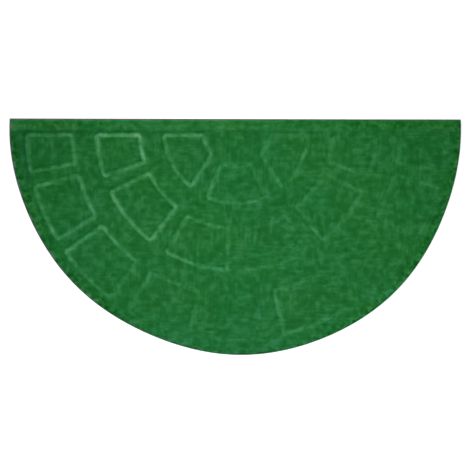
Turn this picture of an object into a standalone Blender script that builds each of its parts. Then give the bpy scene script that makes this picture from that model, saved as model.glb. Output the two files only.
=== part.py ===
"""Half moon doormat, lying flat with its pile up.

The straight edge, at +Y, goes against the door sill, and the round edge, at -Y, comes forward.
Three half rings of paving stones are pressed into the low pile as narrow grooves. Pile and backing
are bonded and cut out together, so the mat is one solid. The lengths are metres and the angles
degrees, which run round from the left end of the straight edge. The origin is under the middle of
the mat's box.
"""

import math
from collections import namedtuple

import bmesh
import bpy
from mathutils import Vector
from mathutils.geometry import delaunay_2d_cdt

# The outline: a straight edge a little behind the centre of a round one, whose cut wanders in and
# out in some waves to a full turn. The two ends of the straight edge are 750 mm apart.
Wave = namedtuple("Wave", "count height")
RIM_WAVES = (Wave(count=3, height=0.0028), Wave(count=8, height=0.0009))
RIM_RADIUS = 0.3741
EDGE_BEHIND = 0.0167  # from the round edge's centre back to the straight edge
RIM_STEPS = 140

# Thickness
MAT_THICK = 0.0070
BACKING_THICK = 0.0020
GROOVE_DEPTH = 0.0025
GROOVE_WIDTH = 0.0055  # between the lips
FLOOR_WIDTH = 0.0018  # the flat at the bottom of a groove

# The section of the rim, from the top of the backing's cut edge up to the face of the pile
Turn = namedtuple("Turn", "inset height")
RIM_SECTION = (
    Turn(inset=0.0000, height=BACKING_THICK),
    Turn(inset=0.0006, height=0.0023),
    Turn(inset=0.0012, height=0.0048),
    Turn(inset=0.0024, height=0.0063),
    Turn(inset=0.0045, height=MAT_THICK),
)

# The stones stand in three half rings about one centre, and each ring's first stone is cut straight
# by a line along the straight edge. The right half repeats the left one, mirrored about an axis
# that is a little right of the centre, and turned a little towards its own end of the edge.
RINGS_RIGHT_OF_MIDDLE = 0.0007
RINGS_IN_FRONT_OF_EDGE = 0.0206
CUT_LINE_IN_FRONT_OF_EDGE = 0.0275
CUT_LINE = "cut line"
AXIS_RIGHT_OF_CENTRE = 0.0009
RIGHT_HALF_TURN = 0.4
MIDDLE = 90.0  # the angle of the axis
CORNER = 0.0060  # the length of side that a rounded corner takes up
CORNER_STEPS = 4
STONE_STEP = 0.0080  # the longest step along an arc

# Each stone's two radii, the angle of its first side, and the angles at which its last side meets
# the inner arc and the outer one
Stone = namedtuple("Stone", "inner outer start inner_end outer_end")
STONES = (
    Stone(inner=0.2710, outer=0.3458, start=CUT_LINE, inner_end=11.4, outer_end=11.4),
    Stone(inner=0.2710, outer=0.3455, start=15.7, inner_end=31.4, outer_end=31.4),
    Stone(inner=0.2710, outer=0.3452, start=35.5, inner_end=52.9, outer_end=52.9),
    Stone(inner=0.2715, outer=0.3450, start=59.1, inner_end=77.1, outer_end=77.1),
    Stone(inner=0.2725, outer=0.3440, start=82.9, inner_end=97.1, outer_end=97.1),
    Stone(inner=0.1590, outer=0.2300, start=CUT_LINE, inner_end=19.0, outer_end=19.0),
    Stone(inner=0.1590, outer=0.2300, start=26.1, inner_end=52.2, outer_end=52.2),
    Stone(inner=0.1605, outer=0.2305, start=60.4, inner_end=86.2, outer_end=86.2),
    Stone(inner=0.0545, outer=0.1183, start=CUT_LINE, inner_end=43.5, outer_end=51.4),
    Stone(inner=0.0582, outer=0.1193, start=66.4, inner_end=113.6, outer_end=113.6),
)

PILE_COLOUR = (0.0177, 0.1560, 0.0369, 1.0)
PILE_ROUGHNESS = 0.95
SHARP_FROM = math.radians(40)


def polar(centre, radius, degrees):
    """The point at an angle that runs round from the left, by the front, to the right."""
    angle = math.radians(degrees)
    return centre + radius * Vector((-math.cos(angle), -math.sin(angle)))


def rim_radius(degrees):
    waves = [wave.height * math.cos(math.radians(wave.count * degrees)) for wave in RIM_WAVES]
    return RIM_RADIUS + sum(waves)


def rim_loop(centre, inset):
    """The outline, drawn in by inset: the round edge, closed by the straight one."""
    behind = EDGE_BEHIND - inset
    start = -math.degrees(math.asin(behind / (rim_radius(0) - inset)))
    end = 180 + math.degrees(math.asin(behind / (rim_radius(180) - inset)))
    turns = [start + (end - start) * i / RIM_STEPS for i in range(RIM_STEPS + 1)]
    return [polar(centre, rim_radius(turn) - inset, turn) for turn in turns]


def rim_centre():
    """Where the round edge's centre lies when the middle of the mat's box is at zero."""
    loop = rim_loop(Vector((0, 0)), 0)
    xs = [point.x for point in loop]
    ys = [point.y for point in loop]
    return -Vector((min(xs) + max(xs), min(ys) + max(ys))) / 2


def stone_start(stone, radius, turn):
    """The angle of a stone's first side, which on the cut line depends on the radius."""
    if stone.start != CUT_LINE:
        return stone.start - turn
    drop = CUT_LINE_IN_FRONT_OF_EDGE - RINGS_IN_FRONT_OF_EDGE
    return math.degrees(math.asin(drop / radius))


def side_arc(centre, radius, start, end):
    """The points along one arc of a stone, short of the corners at both of its ends."""
    trim = math.copysign(math.degrees(CORNER / radius), end - start)
    start, end = start + trim, end - trim
    steps = math.ceil(math.radians(abs(end - start)) * radius / STONE_STEP)
    return [polar(centre, radius, start + (end - start) * i / steps) for i in range(steps + 1)]


def rounded(before, corner, after):
    """The points between two sides that meet in a rounded corner."""
    steps = [i / CORNER_STEPS for i in range(1, CORNER_STEPS)]
    return [before * (1 - t) ** 2 + corner * 2 * t * (1 - t) + after * t * t for t in steps]


def straight_side(before, near, far, after):
    """The points from one arc of a stone to the other, with a rounded corner at each end."""
    along = (far - near).normalized() * CORNER
    first, last = near + along, far - along
    return [*rounded(before, near, first), first, last, *rounded(last, far, after)]


def stone_loop(centre, stone, turn=0.0):
    """The middle of the groove round a stone, turned back by some degrees."""
    outer_start = stone_start(stone, stone.outer, turn)
    inner_start = stone_start(stone, stone.inner, turn)
    outer_end = stone.outer_end - turn
    inner_end = stone.inner_end - turn
    outer = side_arc(centre, stone.outer, outer_start, outer_end)
    inner = side_arc(centre, stone.inner, inner_end, inner_start)
    corners = [
        polar(centre, stone.outer, outer_end),
        polar(centre, stone.inner, inner_end),
        polar(centre, stone.inner, inner_start),
        polar(centre, stone.outer, outer_start),
    ]
    far_side = straight_side(outer[-1], corners[0], corners[1], inner[0])
    near_side = straight_side(inner[-1], corners[2], corners[3], outer[0])
    return outer + far_side + inner + near_side


def mirrored(loop, x):
    """A loop's image in the line along Y at x, running the same way round."""
    return [Vector((2 * x - point.x, point.y)) for point in reversed(loop)]


def offset(loop, distance):
    """A loop moved out, or in where distance is less than zero. It runs anticlockwise."""
    moved = []
    for i, point in enumerate(loop):
        along = (loop[(i + 1) % len(loop)] - loop[i - 1]).normalized()
        moved.append(point + distance * Vector((along.y, -along.x)))
    return moved


def stone_loops():
    """The groove's middle round every stone."""
    edge = rim_centre().y + EDGE_BEHIND
    centre = Vector((RINGS_RIGHT_OF_MIDDLE, edge - RINGS_IN_FRONT_OF_EDGE))
    on_axis = centre + Vector((AXIS_RIGHT_OF_CENTRE, 0))
    loops = []
    for stone in STONES:
        if stone.outer_end > MIDDLE:
            loops.append(stone_loop(on_axis, stone))
        else:
            loops.append(stone_loop(centre, stone))
            loops.append(mirrored(stone_loop(centre, stone, RIGHT_HALF_TURN), on_axis.x))
    return loops


def face_loops():
    """Every line of the upper side as (height, loop), the outline first."""
    loops = [(turn.height, rim_loop(rim_centre(), turn.inset)) for turn in RIM_SECTION]
    floor = MAT_THICK - GROOVE_DEPTH
    for middle in stone_loops():
        for width, height in ((GROOVE_WIDTH, MAT_THICK), (FLOOR_WIDTH, floor)):
            loops.append((height, offset(middle, width / 2)))
            loops.append((height, offset(middle, -width / 2)))
    return loops


def add_upper_side(bm, loops):
    """Fills the upper side between its lines, and returns the outline's vertices."""
    points, heights, edges = [], [], []
    for height, loop in loops:
        first = len(points)
        points += loop
        heights += [height] * len(loop)
        edges += [(first + i, first + (i + 1) % len(loop)) for i in range(len(loop))]
    inside_only = 1
    same_point = 1e-7
    flat, _, triangles, source, _, _ = delaunay_2d_cdt(points, edges, [], inside_only, same_point)
    verts = [bm.verts.new((*p, heights[source[i][0]])) for i, p in enumerate(flat)]
    for triangle in triangles:
        bm.faces.new([verts[i] for i in triangle])
    place = {source[i][0]: vert for i, vert in enumerate(verts)}
    return [place[i] for i in range(len(loops[0][1]))]


def add_underside(bm, rim):
    """Closes the mat with the backing's cut edge and its flat underside."""
    foot = [bm.verts.new((vert.co.x, vert.co.y, 0)) for vert in rim]
    for i, vert in enumerate(rim):
        bm.faces.new((rim[i - 1], foot[i - 1], foot[i], vert))
    bm.faces.new(reversed(foot))


def pile_material():
    material = bpy.data.materials.new("green_pile")
    material.use_nodes = True
    shader = material.node_tree.nodes["Principled BSDF"]
    shader.inputs["Base Color"].default_value = PILE_COLOUR
    shader.inputs["Roughness"].default_value = PILE_ROUGHNESS
    shader.inputs["Metallic"].default_value = 0.0
    return material


def make_mat():
    bm = bmesh.new()
    rim = add_upper_side(bm, face_loops())
    add_underside(bm, rim)
    bmesh.ops.recalc_face_normals(bm, faces=bm.faces)
    mesh = bpy.data.meshes.new("mat")
    bm.to_mesh(mesh)
    bm.free()
    mesh.shade_smooth()
    mesh.set_sharp_from_angle(angle=SHARP_FROM)
    mesh.materials.append(pile_material())
    mat = bpy.data.objects.new("mat", mesh)
    bpy.context.scene.collection.objects.link(mat)


for old in list(bpy.data.objects):
    bpy.data.objects.remove(old, do_unlink=True)
make_mat()
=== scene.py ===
"""The looks of the half moon doormat: its pile, the lines pressed into it, and its backing.

Lengths are metres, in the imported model's frame: the mat lies pile up, straight edge towards +Y.
Angles in the stone pattern are degrees, which run round from the left end of the straight edge.
"""

import math
from collections import namedtuple

import bpy
import numpy as np
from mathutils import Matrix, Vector
from mathutils.geometry import delaunay_2d_cdt


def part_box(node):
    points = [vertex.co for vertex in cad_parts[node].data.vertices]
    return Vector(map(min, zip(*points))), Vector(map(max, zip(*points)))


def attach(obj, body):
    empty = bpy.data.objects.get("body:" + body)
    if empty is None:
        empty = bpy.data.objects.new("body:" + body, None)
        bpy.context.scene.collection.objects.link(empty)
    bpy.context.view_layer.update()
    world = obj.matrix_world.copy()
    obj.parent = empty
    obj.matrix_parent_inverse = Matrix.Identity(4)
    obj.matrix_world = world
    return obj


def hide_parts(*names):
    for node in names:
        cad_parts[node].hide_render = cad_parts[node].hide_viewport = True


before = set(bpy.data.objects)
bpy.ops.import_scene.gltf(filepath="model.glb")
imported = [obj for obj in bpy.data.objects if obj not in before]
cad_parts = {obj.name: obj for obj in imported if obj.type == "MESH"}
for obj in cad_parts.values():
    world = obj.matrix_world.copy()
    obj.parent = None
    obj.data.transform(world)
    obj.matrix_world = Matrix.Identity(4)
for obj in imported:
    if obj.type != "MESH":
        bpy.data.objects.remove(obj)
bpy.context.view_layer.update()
LOW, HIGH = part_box("mat")
LEFT, RIGHT = LOW[0], HIGH[0]
FRONT, EDGE = LOW[1], HIGH[1]
TOP = HIGH[2]

SEED = 7

# A stretch between two values, a strip with soft sides, and a layer of noise: how much it adds,
# the size of its lumps, and what is added to SEED for it
Span = namedtuple("Span", "low high")
Strip = namedtuple("Strip", "low high soft")
Lumps = namedtuple("Lumps", "height size seed")

# The outline, as in the part's source
Wave = namedtuple("Wave", "count height")
RIM_WAVES = (Wave(count=3, height=0.0028), Wave(count=8, height=0.0009))
RIM_RADIUS = 0.3741
RIM_X = LEFT + RIM_RADIUS + RIM_WAVES[0].height + RIM_WAVES[1].height
RIM_Y = EDGE - 0.0167

# The section of the rim, from the backing's cut edge up to the face of the pile
Turn = namedtuple("Turn", "inset height")
RIM_SECTION = (
    Turn(inset=0.0000, height=0.0020),
    Turn(inset=0.0009, height=0.0022),
    Turn(inset=0.0013, height=0.0040),
    Turn(inset=0.0024, height=0.0056),
    Turn(inset=0.0045, height=TOP),
)
PILE_FROM = 0.0010  # how far in from the cut edge the pile begins
FULL_PILE_FROM = 0.0030  # and from where the ground lies a whole tuft under its face

# The stones, as in the part's source
RINGS_X = 0.0007
RINGS_Y = EDGE - 0.0206
CUT_LINE_Y = EDGE - 0.0275
CUT_LINE = "cut line"
AXIS_X = RINGS_X + 0.0009
RIGHT_HALF_TURN = 0.4
MIDDLE = 90.0
CORNER_RADIUS = 0.0045

# Each stone's two radii, the angle of its first side, and the angles at which its last side meets
# the inner arc and the outer one
Stone = namedtuple("Stone", "inner outer start inner_end outer_end")
STONES = {
    "outer 1": Stone(inner=0.2710, outer=0.3458, start=CUT_LINE, inner_end=11.4, outer_end=11.4),
    "outer 2": Stone(inner=0.2710, outer=0.3455, start=15.7, inner_end=31.4, outer_end=31.4),
    "outer 3": Stone(inner=0.2710, outer=0.3452, start=35.5, inner_end=52.9, outer_end=52.9),
    "outer 4": Stone(inner=0.2715, outer=0.3450, start=59.1, inner_end=77.1, outer_end=77.1),
    "outer 5": Stone(inner=0.2725, outer=0.3440, start=82.9, inner_end=97.1, outer_end=97.1),
    "middle 1": Stone(inner=0.1590, outer=0.2300, start=CUT_LINE, inner_end=19.0, outer_end=19.0),
    "middle 2": Stone(inner=0.1590, outer=0.2300, start=26.1, inner_end=52.2, outer_end=52.2),
    "middle 3": Stone(inner=0.1605, outer=0.2305, start=60.4, inner_end=86.2, outer_end=86.2),
    "inner 1": Stone(inner=0.0545, outer=0.1183, start=CUT_LINE, inner_end=43.5, outer_end=51.4),
    "inner 2": Stone(inner=0.0582, outer=0.1193, start=66.4, inner_end=113.6, outer_end=113.6),
}

# How plainly each side of a stone's line shows, in tenths: from 0, trodden out, to 10, freshly
# pressed, and past it where the pile lies quite flat. Towards the front and the right the lines
# are shallower and their pale pressed pile, which is partly painted sheen, is fainter.
Shown = namedtuple("Shown", "stone right outer last inner first")
LINES = (
    Shown("outer 1", False, outer=5, last=5, inner=5, first=6),
    Shown("outer 2", False, outer=6, last=5, inner=6, first=6),
    Shown("outer 3", False, outer=4, last=4, inner=6, first=8),
    Shown("outer 4", False, outer=0, last=3, inner=3, first=3),
    Shown("outer 5", False, outer=1, last=1, inner=1, first=0),
    Shown("outer 4", True, outer=3, last=6, inner=3, first=0),
    Shown("outer 3", True, outer=2, last=1, inner=1, first=1),
    Shown("outer 2", True, outer=2, last=1, inner=4, first=3),
    Shown("outer 1", True, outer=2, last=3, inner=4, first=0),
    Shown("middle 1", False, outer=7, last=6, inner=11, first=12),
    Shown("middle 2", False, outer=7, last=7, inner=7, first=6),
    Shown("middle 3", False, outer=6, last=4, inner=4, first=4),
    Shown("middle 3", True, outer=3, last=0, inner=2, first=2),
    Shown("middle 2", True, outer=4, last=4, inner=4, first=3),
    Shown("middle 1", True, outer=3, last=3, inner=3, first=0),
    Shown("inner 1", False, outer=5, last=6, inner=5, first=7),
    Shown("inner 2", False, outer=4, last=2, inner=3, first=6),
    Shown("inner 1", True, outer=4, last=4, inner=4, first=3),
)
SIDE_BLEND = 0.004  # how far one side's strength runs over into the next one's at a corner
FRESH = Span(0.30, 0.70)  # from no gain in a line's corners to the whole of it
IN_CORNERS = 0.8  # twice the share by which a corner of a fresh line gains
LINE_WEAR = (Lumps(0.30, 0.012, 0), Lumps(0.28, 0.0055, 1))
FAINT = Span(0.10, 0.60)  # the strengths between which a line's wear grows more even
FAINT_WEAR = 0.8  # how much more patchy the faintest line is

# The grooves
GROOVE_DEPTH = 0.0025
GROOVE_WIDTH = 0.0062
FLOOR_WIDTH = 0.0018
LEAST_DEPTH = 0.35  # what is left of the groove's depth where it hardly shows
LEAN_IN_DEPTH = 0.0006  # the pile beside a groove leans into it and sits lower
LEAN_IN_WIDTH = 0.0180

# How a line is coloured, by the distance from its middle. The pile beside it leans into it, and
# the shade of that is painted: painted shade on the side nearer to the light, and painted light on
# the other side.
PRESSED = Span(0.0010, 0.0052)  # from the hardest pressed pile to that which isn't pressed
PRESSED_SHIFT = 0.0008  # how far the pressed pile reaches over towards the light
# the band of painted shade beside a line: where it rises, and where it ends
PAINTED_SHADE_FROM = Span(0.0015, 0.0030)
PAINTED_SHADE_TO = Span(0.0040, 0.0085)
TO_LIGHT = Vector((-0.92, 0.39))  # across the mat, towards the low light
SIDE_STEP = 0.0006  # a short step that tells on which side of a line a point lies

# The ground under the tufts
TUFT_HEIGHT = 0.0012
PRESSED_RISE = 0.8  # how much of TUFT_HEIGHT the ground comes up where the tufts are pressed
UNEVEN = (Lumps(0.00016, 0.045, 2), Lumps(0.00012, 0.014, 3), Lumps(0.00012, 0.006, 4))
TRODDEN = 0.00025  # how far the pile lies under its full height on the whole
EVEN_RIM = Span(0.003, 0.012)  # the distances from the cut over which both of these set in
FINE_PITCH = 0.0011  # between its points near the middle of a line
FINE_BAND = 0.0050  # how near that is
COARSE_PITCH = 0.0042  # between the other ones
GROUND_JITTER = 0.12
RIM_STEP = 0.0022
UNDER_PITCH = 0.012

# The tufts
TUFT_PITCH = 0.00103
TUFT_JITTER = 0.30
TUFT_WIDTH = 0.00125
TUFT_SIZES = Span(0.85, 1.15)
TUFT_SIDES = ((0, 1, 3), (1, 2, 3), (2, 0, 3))  # by its three feet and, as the last, its tip
TUFT_PIECES = 4
NAP = Vector((0.10, -0.22))  # which way the pile lies, as sideways travel for each unit of height
CLUMP_SIZE = 0.0035
CLUMP_LEAN = 0.30  # sideways travel that neighbours share
STRAY_LEAN = 0.18  # and that each tuft has of its own
PRESSED_LOSS = 0.72  # the share of its height that a pressed tuft loses
ROOT = 0.00015  # how far a tuft's foot goes into the ground

# The border along the straight edge, by the distance in front of it
CUT = Span(0.0008, 0.0040)
GREEN_STRIP = Strip(0.0045, 0.0095, 0.0015)
BROWN_STRIP = Strip(0.0112, 0.0140, 0.0015)
BORDER_END = Span(0.0170, 0.0205)
# a strip of painted shade just behind the cut line
PAINTED_SHADE_STRIP = Strip(0.0216, 0.0236, 0.0010)
BORDER_FADE = 0.7  # the share by which the cut and the border lose their paleness to the right
BORDER_FADE_X = Span(-0.10, 0.25)
PAINTED_SHADE_FADE = 0.65  # the share by which the strip of painted shade fades to the right
PAINTED_SHADE_FADE_X = Span(-0.24, -0.10)

# Painted shade in an arc round the outer stones, at the left only
PAINTED_SHADE_ARC = Strip(0.3492, 0.3545, 0.0015)
PAINTED_SHADE_ARC_Y = Strip(EDGE - 0.095, CUT_LINE_Y, 0.006)

# The rim and the spotted ring along the round edge, by the distance in from the cut, and the front
ROUND_EDGE = Span(0.002, 0.012)  # how far in front of the straight edge they set in
RIM = Span(0.0030, 0.0060)
RING = Span(0.008, 0.020)
RING_IN_FRONT = 0.35  # how much of the ring is left in the middle of the front
RING_FRONT_X = Span(0.10, 0.22)
FRONT_PART = Span(FRONT + 0.015, FRONT + 0.060)

# The spots in the ring and the finer ones on the rim, and the palest that they get. The rim's
# spots are mostly darker: partly the cut ends' own darker pile, partly painted shade along the
# cut.
Spots = namedtuple("Spots", "height size seed less palest")
RING_SPOTS = Spots(height=3.6, size=0.0042, seed=11, less=0.0, palest=2.0)
RIM_SPOTS = Spots(height=3.0, size=0.0024, seed=16, less=1.2, palest=0.3)

# How much paler each area is, and what it adds to the factors on the pile's red and blue
Tinge = namedtuple("Tinge", "pale red blue")
AREAS = {
    "cut": Tinge(pale=2.0, red=0.0, blue=0.0),
    "border": Tinge(pale=1.5, red=0.0, blue=0.0),
    "green strip": Tinge(pale=0.0, red=-0.42, blue=-0.28),
    "brown strip": Tinge(pale=0.0, red=0.28, blue=0.0),
    # painted shade along the cut line and round the outer stones at the left
    "painted shade lines": Tinge(pale=-1.3, red=0.20, blue=0.28),
    "rim": Tinge(pale=0.0, red=1.70, blue=0.95),
    "ring": Tinge(pale=0.0, red=-0.10, blue=-0.16),
    "front": Tinge(pale=0.0, red=0.0, blue=0.06),
}
RED_LUMPS = (Lumps(0.12, 0.050, 12), Lumps(0.07, 0.014, 13))
BLUE_LUMPS = (Lumps(0.10, 0.050, 14), Lumps(0.07, 0.014, 15))
BLUE_IN_FRONT = 1.05
BLUE_LOST = 0.15  # from the front to the straight edge

# What pressing (paler pile: partly its own colour, partly painted sheen), the painted shade
# beside a line and a tuft's own tone change
PRESSED_PALE = 3.9
# painted shade beside a line: darker and bluer on the side nearer to the light, paler and redder
# on the other
SHADE = Tinge(pale=-2.2, red=-0.10, blue=0.10)
TONE_PALE = 0.6


def smooth(x, low, high):
    """0 up to low, 1 from high, and a soft step between."""
    t = np.clip((x - low) / (high - low), 0, 1)
    return t * t * (3 - 2 * t)


def band(x, strip):
    """1 in a strip, and 0 from its soft sides outwards."""
    risen = smooth(x, strip.low - strip.soft, strip.low)
    return risen * (1 - smooth(x, strip.high, strip.high + strip.soft))


def cloud(x, y, size, seed):
    """Soft noise from -1 to 1, in lumps of about size."""
    cells = 64
    offset = 1000
    lattice = np.random.default_rng(seed).uniform(-1, 1, (cells, cells))
    u, v = np.asarray(x) / size + offset, np.asarray(y) / size + offset
    i, j = np.floor(u).astype(int), np.floor(v).astype(int)
    f, g = smooth(u - i, 0, 1), smooth(v - j, 0, 1)
    i0, j0 = i % cells, j % cells
    i1, j1 = (i + 1) % cells, (j + 1) % cells
    near = lattice[i0, j0] * (1 - f) + lattice[i1, j0] * f
    far = lattice[i0, j1] * (1 - f) + lattice[i1, j1] * f
    return near * (1 - g) + far * g


def clouds(x, y, layers):
    """Several layers of soft noise, one over the other."""
    return sum(lumps.height * cloud(x, y, lumps.size, SEED + lumps.seed) for lumps in layers)


def rim_radius(turn):
    """The radius of the round edge at angles in radians, which run round from its left end."""
    return RIM_RADIUS + sum(wave.height * np.cos(wave.count * turn) for wave in RIM_WAVES)


def rim_inset(x, y):
    """How far in from the cut outline each point lies."""
    across, down = x - RIM_X, RIM_Y - y
    round_edge = rim_radius(np.arctan2(down, -across)) - np.hypot(across, down)
    return np.minimum(round_edge, EDGE - y)


def beyond(across, down, near, far):
    """How far past the line from the point near to the point far, towards the greater angles."""
    along = (far - near).normalized()
    return (across - near.x) * along.y - (down - near.y) * along.x


def stone_sides(stone, right, x, y):
    """How far outside a stone's outer arc, last side, inner arc and first side each point lies."""
    turn = RIGHT_HALF_TURN if right else 0.0
    centre = AXIS_X if stone.outer_end > MIDDLE else RINGS_X
    across = (2 * AXIS_X - x if right else x) - centre
    down = RINGS_Y - y
    radius = np.hypot(across, down)

    def corner(distance, degrees):
        angle = math.radians(degrees - turn)
        return Vector((-distance * math.cos(angle), distance * math.sin(angle)))

    near, far = corner(stone.inner, stone.inner_end), corner(stone.outer, stone.outer_end)
    last = beyond(across, down, near, far)
    if stone.start == CUT_LINE:
        first = y - CUT_LINE_Y
    else:
        near, far = corner(stone.inner, stone.start), corner(stone.outer, stone.start)
        first = -beyond(across, down, near, far)
    return radius - stone.outer, last, stone.inner - radius, first


def stone_line(line, x, y):
    """The distance from the middle of the line round a stone, less than 0 inside it, and how
    plainly the line shows: 0 where it is trodden out, and 1 or more where it is fresh."""
    sides = stone_sides(STONES[line.stone], line.right, x, y)
    outer, last, inner, first = sides
    u = np.maximum(outer, inner) + CORNER_RADIUS
    v = np.maximum(first, last) + CORNER_RADIUS
    outside = np.hypot(np.maximum(u, 0), np.maximum(v, 0))
    away = np.minimum(np.maximum(u, v), 0) + outside - CORNER_RADIUS
    farthest = 30  # beyond so many blends all four sides weigh alike
    weights = [np.exp(-np.minimum(np.abs(side) / SIDE_BLEND, farthest)) for side in sides]
    tenths = (line.outer, line.last, line.inner, line.first)
    plain = sum(w * t / 10 for w, t in zip(weights, tenths)) / sum(weights)
    in_corner = 1 - sum(w * w for w in weights) / sum(weights) ** 2
    return away, plain * (1 + IN_CORNERS * in_corner * smooth(plain, *FRESH))


def nearest_line(x, y):
    """The distance from the middle of the nearest line, and how plainly that line shows."""
    nearest = np.full(np.shape(x), 1.0)
    plain = np.zeros(np.shape(x))
    for line in LINES:
        away, shows = stone_line(line, x, y)
        closer = np.abs(away) < np.abs(nearest)
        nearest = np.where(closer, away, nearest)
        plain = np.where(closer, shows, plain)
    patchy = clouds(x, y, LINE_WEAR) * (1 + FAINT_WEAR * (1 - smooth(plain, *FAINT)))
    return np.abs(nearest), plain * np.maximum(1 + patchy, 0)


def area_shares(x, y):
    """How far each point belongs to each of the AREAS, from 0 to 1."""
    in_front = EDGE - y
    inset = rim_inset(x, y)
    border_fade = 1 - BORDER_FADE * smooth(x, *BORDER_FADE_X)
    shade_strip = band(in_front, PAINTED_SHADE_STRIP) * (1 - PAINTED_SHADE_FADE * smooth(x, *PAINTED_SHADE_FADE_X))
    shade_arc = band(np.hypot(x - RINGS_X, RINGS_Y - y), PAINTED_SHADE_ARC) * band(y, PAINTED_SHADE_ARC_Y) * (x < 0)
    round_edge = smooth(in_front, *ROUND_EDGE)
    ring_left = RING_IN_FRONT + (1 - RING_IN_FRONT) * smooth(np.abs(x), *RING_FRONT_X)
    return {
        "cut": (1 - smooth(in_front, *CUT)) * border_fade,
        "border": (1 - smooth(in_front, *BORDER_END)) * border_fade,
        "green strip": band(in_front, GREEN_STRIP),
        "brown strip": band(in_front, BROWN_STRIP),
        "painted shade lines": np.maximum(shade_strip, shade_arc),
        "rim": round_edge * (1 - smooth(inset, *RIM)),
        "ring": round_edge * (1 - smooth(inset, *RING)) * ring_left,
        "front": 1 - smooth(y, *FRONT_PART),
    }


def spotty(x, y, spots):
    """How much paler spots make the pile."""
    return np.minimum(clouds(x, y, [spots]) - spots.less, spots.palest)


def tinge(x, y):
    """How the pile changes over the mat: how pale it is, and factors on its red and its blue."""
    shares = area_shares(x, y)
    pale = shares["ring"] * spotty(x, y, RING_SPOTS) + shares["rim"] * spotty(x, y, RIM_SPOTS)
    red = 1 + clouds(x, y, RED_LUMPS)
    blue = BLUE_IN_FRONT + clouds(x, y, BLUE_LUMPS) - BLUE_LOST * (y - FRONT) / (EDGE - FRONT)
    for name, area in AREAS.items():
        pale = pale + area.pale * shares[name]
        red = red + area.red * shares[name]
        blue = blue + area.blue * shares[name]
    return Tinge(pale, red, blue)


Face = namedtuple("Face", "height sunk pressed shade")


def pile_face(x, y):
    """The pile at each point: the height of its face, how far the ground lies under that, how hard
    the pile is pressed, and its painted shade beside a line: above 0 on the side nearer to the
    light, and below 0, as painted light, on the other side."""
    inset = rim_inset(x, y)
    off, plain = nearest_line(x, y)
    groove = 1 - smooth(off, FLOOR_WIDTH / 2, GROOVE_WIDTH / 2)
    leaning = 1 - smooth(off, 0, LEAN_IN_WIDTH / 2)
    depth = LEAST_DEPTH + (1 - LEAST_DEPTH) * np.minimum(plain, 1)
    rim = np.interp(inset, [t.inset for t in RIM_SECTION], [t.height for t in RIM_SECTION])
    height = rim + smooth(inset, *EVEN_RIM) * (clouds(x, y, UNEVEN) - TRODDEN)
    height -= GROOVE_DEPTH * depth * groove + LEAN_IN_DEPTH * depth * leaning
    a_step_on = nearest_line(x + SIDE_STEP * TO_LIGHT.x, y + SIDE_STEP * TO_LIGHT.y)[0]
    light_side = np.clip((a_step_on - off) / SIDE_STEP, -1, 1)
    pressed = plain * (1 - smooth(off - PRESSED_SHIFT * light_side, *PRESSED))
    sunk = TUFT_HEIGHT * (1 - PRESSED_RISE * np.clip(pressed, 0, 1))
    sunk *= smooth(inset, PILE_FROM, FULL_PILE_FROM)
    # painted shade on a line's side nearer to the light, and painted light on its other side
    beside = smooth(off, *PAINTED_SHADE_FROM) * (1 - smooth(off, *PAINTED_SHADE_TO))
    return Face(height, sunk, pressed, light_side * beside * np.clip(plain, 0, 1))


def add_colour_attributes(obj, x, y, face, tone=0.0, each=1):
    """What the pile's material reads, for points at x and y that each stand for some vertices."""
    found = tinge(x, y)
    # pale, red and blue carry painted shade and painted light beside the lines, and pale the
    # pressed pile's painted sheen
    pale = found.pale + PRESSED_PALE * face.pressed + SHADE.pale * face.shade + TONE_PALE * tone
    add_attribute(obj, "pale", np.repeat(pale, each))
    add_attribute(obj, "pressed", np.repeat(face.pressed, each))
    add_attribute(obj, "red", np.repeat(found.red + SHADE.red * face.shade, each))
    add_attribute(obj, "blue", np.repeat(found.blue + SHADE.blue * face.shade, each))


def hex_points(pitch, jitter, seed):
    """Points over the mat's box, in offset rows, each nudged by up to jitter pitches."""
    row_pitch = pitch * math.sqrt(0.75)
    columns = math.ceil((RIGHT - LEFT) / pitch) + 1
    rows = math.ceil((EDGE - FRONT) / row_pitch) + 1
    column, row = np.meshgrid(np.arange(columns), np.arange(rows))
    x = LEFT + pitch * (column + 0.5 * (row % 2)).ravel()
    y = FRONT + row_pitch * row.ravel()
    nudge = np.random.default_rng(seed).uniform(-jitter, jitter, (2, x.size)) * pitch
    return x + nudge[0], y + nudge[1]


def rim_points(inset, step):
    """Points along the outline, drawn in by inset: the round edge and then the straight one."""
    behind = EDGE - RIM_Y - inset
    start = -math.asin(behind / (rim_radius(0.0) - inset))
    end = math.pi + math.asin(behind / (rim_radius(math.pi) - inset))
    turns = np.linspace(start, end, math.ceil((end - start) * RIM_RADIUS / step))
    radius = rim_radius(turns) - inset
    x, y = RIM_X - radius * np.cos(turns), RIM_Y - radius * np.sin(turns)
    straight = np.linspace(x[-1], x[0], math.ceil((x[-1] - x[0]) / step))[1:-1]
    return np.append(x, straight), np.append(y, np.full(straight.size, EDGE - inset))


def triangulated(loops, x, y):
    """Delaunay triangles over closed loops of points and the loose points inside them."""
    points, edges = [], []
    for loop in loops:
        first, count = len(points), len(loop[0])
        points += zip(*loop)
        edges += [(first + i, first + (i + 1) % count) for i in range(count)]
    points += zip(x, y)
    inside_only = 1
    same_point = 1e-8
    found = delaunay_2d_cdt([Vector(p) for p in points], edges, [], inside_only, same_point)
    places, triangles, source = found[0], found[2], found[3]
    if len(places) != len(points):
        raise ValueError("two points of the mat's ground fell together")
    number = [ids[0] for ids in source]
    return np.array(points), np.array([[number[i] for i in t] for t in triangles])


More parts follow.
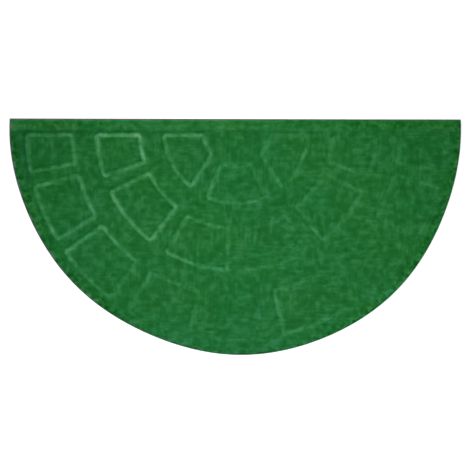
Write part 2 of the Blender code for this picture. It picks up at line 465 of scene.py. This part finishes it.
def make_mesh(name, verts, faces, material_of_face=None):
    """A smooth shaded mesh object from arrays of points and of triangles."""
    mesh = bpy.data.meshes.new(name)
    mesh.vertices.add(len(verts))
    mesh.vertices.foreach_set("co", np.asarray(verts, np.float32).ravel())
    mesh.loops.add(faces.size)
    mesh.loops.foreach_set("vertex_index", faces.astype(np.int32).ravel())
    mesh.polygons.add(len(faces))
    mesh.polygons.foreach_set("loop_start", np.arange(0, faces.size, 3, dtype=np.int32))
    mesh.polygons.foreach_set("use_smooth", np.ones(len(faces), bool))
    if material_of_face is not None:
        mesh.polygons.foreach_set("material_index", material_of_face.astype(np.int32))
    mesh.update(calc_edges=True)
    obj = bpy.data.objects.new(name, mesh)
    bpy.context.scene.collection.objects.link(obj)
    return obj


def add_attribute(obj, name, values):
    """A number for each of the first vertices, and 0 for the rest."""
    layer = obj.data.attributes.new(name, "FLOAT", "POINT")
    rest = np.zeros(len(obj.data.vertices) - len(values))
    layer.data.foreach_set("value", np.append(values, rest).astype(np.float32))


def corner_vertices(obj):
    """The vertex of each corner of the mesh's faces."""
    corner = np.empty(len(obj.data.loops), np.int32)
    obj.data.loops.foreach_get("vertex_index", corner)
    return corner


# The ground's bake map: the upper side, the underside above that, and the cut edge at the top
MAP_LEFT = 0.03
MAP_WIDTH = 0.94
MAP_GAP = 0.003
UNDERSIDE_FROM = 0.497
WALL_FROM = 0.991
WALL_HEIGHT = 0.008


def add_bake_map(obj, places):
    """The UV map that the object is baked through, with a place for each corner."""
    layer = obj.data.uv_layers.new(name="OFBake")
    layer.data.foreach_set("uv", places.astype(np.float32).ravel())


def from_above(x, y, low=0.0):
    """Places in the bake map for the mat seen from above, in a strip that starts at low."""
    share = MAP_WIDTH / (RIGHT - LEFT)
    return np.column_stack([MAP_LEFT + (x - LEFT) * share, low + MAP_GAP + (y - FRONT) * share])


def add_ground_map(ground, upper_count, wall_count):
    """The upper side, the underside and the cut edge, each in its own part of the bake map."""
    corner = corner_vertices(ground)
    co = np.empty(3 * len(ground.data.vertices), np.float32)
    ground.data.vertices.foreach_get("co", co)
    x, y, z = co.reshape(-1, 3)[corner].T
    first, last = 3 * upper_count, 3 * (upper_count + wall_count)
    places = from_above(x, y)
    places[last:] = from_above(x[last:], y[last:], UNDERSIDE_FROM)
    place_round = np.arange(wall_count // 2)
    begin, end = place_round / place_round.size, (place_round + 1) / place_round.size
    lower = np.column_stack([begin, begin, end])
    upper = np.column_stack([begin, end, end])
    places[first:last, 0] = np.vstack([lower, upper]).ravel()
    places[first:last, 1] = WALL_FROM + WALL_HEIGHT * z[first:last] / RIM_SECTION[0].height
    add_bake_map(ground, places)


def ground_points():
    """The points of the ground inside its rim, closer together near the lines."""
    fine_x, fine_y = hex_points(FINE_PITCH, GROUND_JITTER, SEED + 5)
    coarse_x, coarse_y = hex_points(COARSE_PITCH, GROUND_JITTER, SEED + 6)
    innermost = RIM_SECTION[-1].inset
    fine_near = nearest_line(fine_x, fine_y)[0] < FINE_BAND
    fine_near &= rim_inset(fine_x, fine_y) > innermost + RIM_STEP / 2
    coarse_in = rim_inset(coarse_x, coarse_y) > innermost + COARSE_PITCH / 2
    coarse_in &= nearest_line(coarse_x, coarse_y)[0] >= FINE_BAND + FINE_PITCH
    x = np.concatenate([fine_x[fine_near], coarse_x[coarse_in]])
    y = np.concatenate([fine_y[fine_near], coarse_y[coarse_in]])
    return x, y


def make_ground():
    """The closed body of the mat: the ground under the tufts, the cut rim and the backing."""
    loops = [rim_points(turn.inset, RIM_STEP) for turn in RIM_SECTION]
    flat, upper = triangulated(loops, *ground_points())
    face = pile_face(flat[:, 0], flat[:, 1])
    under_x, under_y = hex_points(UNDER_PITCH, 0.0, SEED)
    well_in = rim_inset(under_x, under_y) > UNDER_PITCH / 2
    under_flat, under = triangulated([rim_points(0, RIM_STEP)], under_x[well_in], under_y[well_in])
    first = len(flat)
    top = np.column_stack([flat, face.height - face.sunk])
    verts = np.vstack([top, np.column_stack([under_flat, np.zeros(len(under_flat))])])
    rim = np.arange(len(loops[0][0]))
    after = np.roll(rim, -1)
    lower_wall = np.column_stack([rim, first + rim, first + after])
    upper_wall = np.column_stack([rim, first + after, after])
    faces = np.vstack([upper, lower_wall, upper_wall, under[:, ::-1] + first])
    rubber = np.ones(len(faces))
    rubber[: len(upper)] = rim_inset(*flat[upper].mean(1).T) < PILE_FROM
    ground = make_mesh("mat_ground", verts, faces, rubber)
    add_colour_attributes(ground, flat[:, 0], flat[:, 1], face)
    add_ground_map(ground, len(upper), 2 * len(rim))
    return ground


def tuft_points(x, y, face, rng):
    """The three feet and the tip of a leaning tuft at each point."""
    tall = TUFT_HEIGHT * rng.uniform(*TUFT_SIZES, x.size)
    tall *= 1 - PRESSED_LOSS * np.clip(face.pressed, 0, 1)
    wide = TUFT_WIDTH / 2 * rng.uniform(*TUFT_SIZES, x.size)
    spin = rng.uniform(0, 2 * math.pi, x.size)[:, None] + np.arange(3) * 2 * math.pi / 3
    clump_x, clump_y = (cloud(x, y, CLUMP_SIZE, SEED + more) for more in (9, 10))
    lean_x = NAP.x + CLUMP_LEAN * clump_x + rng.normal(0, STRAY_LEAN, x.size)
    lean_y = NAP.y + CLUMP_LEAN * clump_y + rng.normal(0, STRAY_LEAN, x.size)
    points = np.empty((x.size, 4, 3))
    points[:, :3, 0] = x[:, None] + wide[:, None] * np.cos(spin)
    points[:, :3, 1] = y[:, None] + wide[:, None] * np.sin(spin)
    foot = pile_face(points[:, :3, 0], points[:, :3, 1])
    points[:, :3, 2] = foot.height - foot.sunk - ROOT
    tip_z = face.height - face.sunk + tall
    points[:, 3] = np.column_stack([x + lean_x * tall, y + lean_y * tall, tip_z])
    return points


def add_tufts():
    """The pile, as a leaning three-sided tuft at each point, in pieces from left to right."""
    x, y = hex_points(TUFT_PITCH, TUFT_JITTER, SEED + 7)
    inside = rim_inset(x, y) > PILE_FROM
    x, y = x[inside], y[inside]
    order = np.argsort(x, kind="stable")
    x, y = x[order], y[order]
    rng = np.random.default_rng(SEED + 8)
    face = pile_face(x, y)
    tone = rng.uniform(-1, 1, x.size)
    points = tuft_points(x, y, face, rng)
    made = []
    for number, part in enumerate(np.array_split(np.arange(x.size), TUFT_PIECES), start=1):
        start = 4 * np.arange(len(part))[:, None]
        faces = np.concatenate([start + side for side in TUFT_SIDES])
        verts = points[part].reshape(-1, 3)
        piece = make_mesh(f"pile_{number}", verts, faces)
        part_face = Face(*(values[part] for values in face))
        add_colour_attributes(piece, x[part], y[part], part_face, tone[part], each=4)
        add_attribute(piece, "tip", np.tile([0, 0, 0, 1], len(part)))
        low, span = verts[:, :2].min(0), np.ptp(verts[:, :2], 0)
        add_bake_map(piece, ((verts[:, :2] - low) / span)[corner_vertices(piece)])
        made.append(piece)
    return made


class Nodes:
    """Makes the nodes of one material. An input that is a socket is linked, any other is set."""

    def __init__(self, name):
        self.material = bpy.data.materials.new(name)
        self.material.use_nodes = True
        self.tree = self.material.node_tree
        self.shader = self.tree.nodes["Principled BSDF"]

    def put(self, node, inputs):
        for key, value in inputs.items():
            if isinstance(value, bpy.types.NodeSocket):
                self.tree.links.new(value, node.inputs[key])
            else:
                node.inputs[key].default_value = value
        return node

    def add(self, kind, inputs=None, **settings):
        node = self.tree.nodes.new(kind)
        for key, value in settings.items():
            setattr(node, key, value)
        return self.put(node, inputs or {})

    def math(self, operation, *values):
        return self.add("ShaderNodeMath", dict(enumerate(values)), operation=operation).outputs[0]

    def attribute(self, name):
        return self.add("ShaderNodeAttribute", attribute_name=name).outputs["Fac"]

    def noise(self, place, scale, detail=2.0, roughness=0.5):
        inputs = {"Vector": place, "Scale": scale, "Detail": detail, "Roughness": roughness}
        return self.add("ShaderNodeTexNoise", inputs).outputs["Fac"]

    def ramp(self, value, low, high, to_low=0.0, to_high=1.0, even=False):
        """Maps low to to_low and high to to_high, by an even slope or by a soft step."""
        inputs = {"Value": value, "From Min": low, "From Max": high}
        inputs.update({"To Min": to_low, "To Max": to_high})
        kind = "LINEAR" if even else "SMOOTHSTEP"
        return self.add("ShaderNodeMapRange", inputs, interpolation_type=kind).outputs[0]

    def mix(self, factor, a, b, blend="MIX"):
        """Mixes two colours. A Mix node has its sockets for colours at 6, 7 and, going out, 2."""
        node = self.add("ShaderNodeMix", data_type="RGBA", blend_type=blend)
        self.put(node, {0: factor, 6: a, 7: b})
        return node.outputs[2]

    def grey(self, value):
        return self.add("ShaderNodeCombineXYZ", {0: value, 1: value, 2: value}).outputs[0]

    def stretched(self, place, scale):
        return self.add("ShaderNodeMapping", {"Vector": place, "Scale": scale}).outputs[0]

    def tinted(self, pale):
        """The colour of pile that is this pale."""
        first, last = TINTS[0].pale, TINTS[-1].pale
        node = self.add("ShaderNodeValToRGB", {0: self.ramp(pale, first, last, even=True)})
        stops = node.color_ramp.elements
        while len(stops) < len(TINTS):
            stops.new(0.5)
        for stop, tint in zip(stops, TINTS):
            stop.position = (tint.pale - first) / (last - first)
            stop.color = tint.colour
        return node.outputs[0]


# The pile's colour by how pale it is: 0 is its mean, -3 the darkest grain and painted shade, and
# from 5 the flattened pile of a fresh line, partly painted sheen
Tint = namedtuple("Tint", "pale colour")
TINTS = (
    Tint(-4, (0.0010, 0.0850, 0.0080, 1)),
    Tint(0, (0.0125, 0.1750, 0.0350, 1)),
    Tint(2, (0.0310, 0.2220, 0.0670, 1)),
    Tint(5, (0.0765, 0.2780, 0.1215, 1)),
    Tint(10, (0.1800, 0.4300, 0.2600, 1)),
)

# The grain of the pile, partly painted sheen on its fibres: the scale of each noise, the range of
# it that counts, and what it adds
LUMPS_SCALE = 100.0
LUMPS_RANGE = Span(0.20, 0.80)
LUMPS_PALE = 1.7
STREAKS_SCALE = 190.0
STREAKS_RANGE = Span(0.25, 0.75)
STREAKS_PALE = 0.9
STREAK_SHAPE = 0.22  # a streak's width to its length
PATCHES_SCALE = 16.0  # in some patches the streaks run one way, and in the rest the other way
PATCHES_RANGE = Span(0.42, 0.58)

# Where the streaks all run along the straight edge: at the front, and in the border
STREAKED_FRONT = Span(FRONT + 0.04, FRONT + 0.11)
STREAKED_BORDER = Span(CUT_LINE_Y + 0.0040, CUT_LINE_Y + 0.0080)

# Painted shade in the pile, as factors on its colour: at a tuft's foot, what the tip adds to that,
# and in pressed pile
FOOT_PAINTED_LIGHT = 0.62
TIP_PAINTED_LIGHT = 0.55
PRESSED_PAINTED_LIGHT = 0.8
PILE_ROUGHNESS = 0.9
PRESSED_ROUGHNESS = 0.65

# The rubber, its scuffs as factors on its colour, and its dots
RUBBER = (0.0100, 0.0160, 0.0120, 1)
SCUFF = Span(0.75, 1.35)
SCUFF_SCALE = 60.0
SCUFF_RANGE = Span(0.3, 0.7)
SCUFF_ROUGHNESS = Span(0.62, 0.8)
DOTS_SCALE = 260.0
DOTS_RANGE = Span(0.1, 0.4)  # from the top of a dot to its foot
DOT_HEIGHT = 0.0006


def pile_material():
    """Lumps and short streaks of paler and darker pile, partly painted sheen, over what the
    attributes say.
    """
    n = Nodes("green_pile")
    place = n.add("ShaderNodeTexCoord").outputs["Object"]
    lumps = n.noise(place, LUMPS_SCALE, detail=2.0, roughness=0.45)
    pale = n.ramp(lumps, *LUMPS_RANGE, -LUMPS_PALE, LUMPS_PALE)
    across = n.noise(n.stretched(place, (STREAK_SHAPE, 1.0, 1.0)), STREAKS_SCALE, detail=1.0)
    along = n.noise(n.stretched(place, (1.0, STREAK_SHAPE, 1.0)), STREAKS_SCALE, detail=1.0)
    y = n.add("ShaderNodeSeparateXYZ", {0: place}).outputs["Y"]
    front = n.ramp(y, *STREAKED_FRONT, 1.0, 0.0)
    border = n.ramp(y, *STREAKED_BORDER)
    patch = n.ramp(n.noise(place, PATCHES_SCALE, detail=0.0), *PATCHES_RANGE)
    patch = n.math("MAXIMUM", patch, n.math("MAXIMUM", front, border))
    streaks = n.math("MULTIPLY_ADD", n.math("SUBTRACT", across, along), patch, along)
    pale = n.math("ADD", pale, n.ramp(streaks, *STREAKS_RANGE, -STREAKS_PALE, STREAKS_PALE))
    colour = n.tinted(n.math("ADD", pale, n.attribute("pale")))
    hue = n.add("ShaderNodeCombineXYZ", {0: n.attribute("red"), 1: 1.0, 2: n.attribute("blue")})
    colour = n.mix(1.0, colour, hue.outputs[0], blend="MULTIPLY")
    # painted shade: darkest at a tuft's foot, lighter towards its tip, and less and even in
    # pressed pile
    light = n.math("MULTIPLY_ADD", n.attribute("tip"), TIP_PAINTED_LIGHT, FOOT_PAINTED_LIGHT)
    light = n.ramp(n.attribute("pressed"), 0.0, 1.0, light, PRESSED_PAINTED_LIGHT)
    n.put(n.shader, {"Base Color": n.mix(1.0, colour, n.grey(light), blend="MULTIPLY")})
    rough = n.ramp(n.attribute("pressed"), 0.0, 1.0, PILE_ROUGHNESS, PRESSED_ROUGHNESS)
    n.put(n.shader, {"Roughness": rough})
    n.shader.inputs["Sheen Weight"].default_value = 0.03
    n.shader.inputs["Sheen Roughness"].default_value = 0.5
    n.shader.inputs["Specular IOR Level"].default_value = 0.12
    return n.material


def rubber_material():
    """Dark scuffed rubber with rows of small dots."""
    n = Nodes("dark_rubber_backing")
    place = n.add("ShaderNodeTexCoord").outputs["Object"]
    scuff = n.ramp(n.noise(place, SCUFF_SCALE, detail=4.0), *SCUFF_RANGE, *SCUFF)
    colour = n.mix(1.0, RUBBER, n.grey(scuff), blend="MULTIPLY")
    inputs = {"Vector": place, "Scale": DOTS_SCALE, "Randomness": 0.15}
    dots = n.add("ShaderNodeTexVoronoi", inputs)
    height = n.ramp(dots.outputs["Distance"], *DOTS_RANGE, 1.0, 0.0)
    bump = n.add("ShaderNodeBump", {"Height": height, "Strength": 0.6, "Distance": DOT_HEIGHT})
    rough = n.ramp(scuff, *SCUFF, *SCUFF_ROUGHNESS)
    n.put(n.shader, {"Base Color": colour, "Roughness": rough, "Normal": bump.outputs[0]})
    return n.material


def add_floor():
    """A pale floor just under the mat, for the pictures only."""
    n = Nodes("pale_floor")
    n.put(n.shader, {"Base Color": (0.92, 0.92, 0.92, 1), "Roughness": 0.85})
    size = 3.0
    height = -0.0002
    corners = [(-size, -size), (size, -size), (size, size), (-size, size)]
    mesh = bpy.data.meshes.new("floor")
    mesh.from_pydata([(x, y, height) for x, y in corners], [], [(0, 1, 2, 3)])
    mesh.materials.append(n.material)
    floor = bpy.data.objects.new("floor", mesh)
    bpy.context.scene.collection.objects.link(floor)


def add_light(name, kind, energy, place, aim=(0, 0, 0), **settings):
    """A light at place that points at aim."""
    light = bpy.data.lights.new(name, kind)
    light.energy = energy
    for key, value in settings.items():
        setattr(light, key, value)
    obj = bpy.data.objects.new(name, light)
    obj.location = place
    obj.rotation_euler = (Vector(aim) - Vector(place)).to_track_quat("-Z", "Y").to_euler()
    bpy.context.scene.collection.objects.link(obj)


def add_lights():
    """An even white studio, with a soft light above and a low one from behind at the left."""
    sun_place = (-1.2, 0.6, 0.9)
    add_light("low_sun", "SUN", energy=0.8, place=sun_place, angle=math.radians(12))
    x, y, height = 0.015, -0.03, 2.3
    add_light("top_light", "SPOT", energy=98.0, place=(x, y, height), aim=(x, y, 0),
              shadow_soft_size=0.15, spot_size=math.radians(25), spot_blend=1.0)
    world = bpy.data.worlds.new("studio")
    world.use_nodes = True
    background = world.node_tree.nodes["Background"]
    background.inputs["Color"].default_value = (1, 1, 1, 1)
    background.inputs["Strength"].default_value = 1.13
    bpy.context.scene.world = world


# The camera
PIXELS = 470
PIXEL_SIZE = 0.750 / 452.1  # the straight edge spans this many of the photograph's pixels
BOX_MIDDLE_PIXEL = (234.95, 236.95)  # where the middle of the mat's box is in it
SCALE_HEIGHT = 0.0040  # the height at which a pixel is that wide
LENS = 85.0
SENSOR = 36.0
ROLL = math.radians(0.13)


def add_camera():
    """A camera straight above the mat, as in the photograph."""
    camera = bpy.data.cameras.new("camera")
    camera.lens = LENS
    camera.sensor_width = SENSOR
    obj = bpy.data.objects.new("camera", camera)
    middle = PIXELS / 2
    x = (middle - BOX_MIDDLE_PIXEL[0]) * PIXEL_SIZE
    y = (BOX_MIDDLE_PIXEL[1] - middle) * PIXEL_SIZE
    away = PIXELS * PIXEL_SIZE * LENS / SENSOR
    obj.location = (x, y, SCALE_HEIGHT + away)
    obj.rotation_euler = (0, 0, ROLL)
    bpy.context.scene.collection.objects.link(obj)
    bpy.context.scene.camera = obj


ground = make_ground()
pile = pile_material()
ground.data.materials.append(pile)
ground.data.materials.append(rubber_material())
tufts = add_tufts()
for tuft in tufts:
    tuft.data.materials.append(pile)
for piece in (ground, *tufts):
    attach(piece, "root")
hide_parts("mat")
add_floor()
add_lights()
add_camera()
bpy.context.scene.view_settings.view_transform = "Standard"
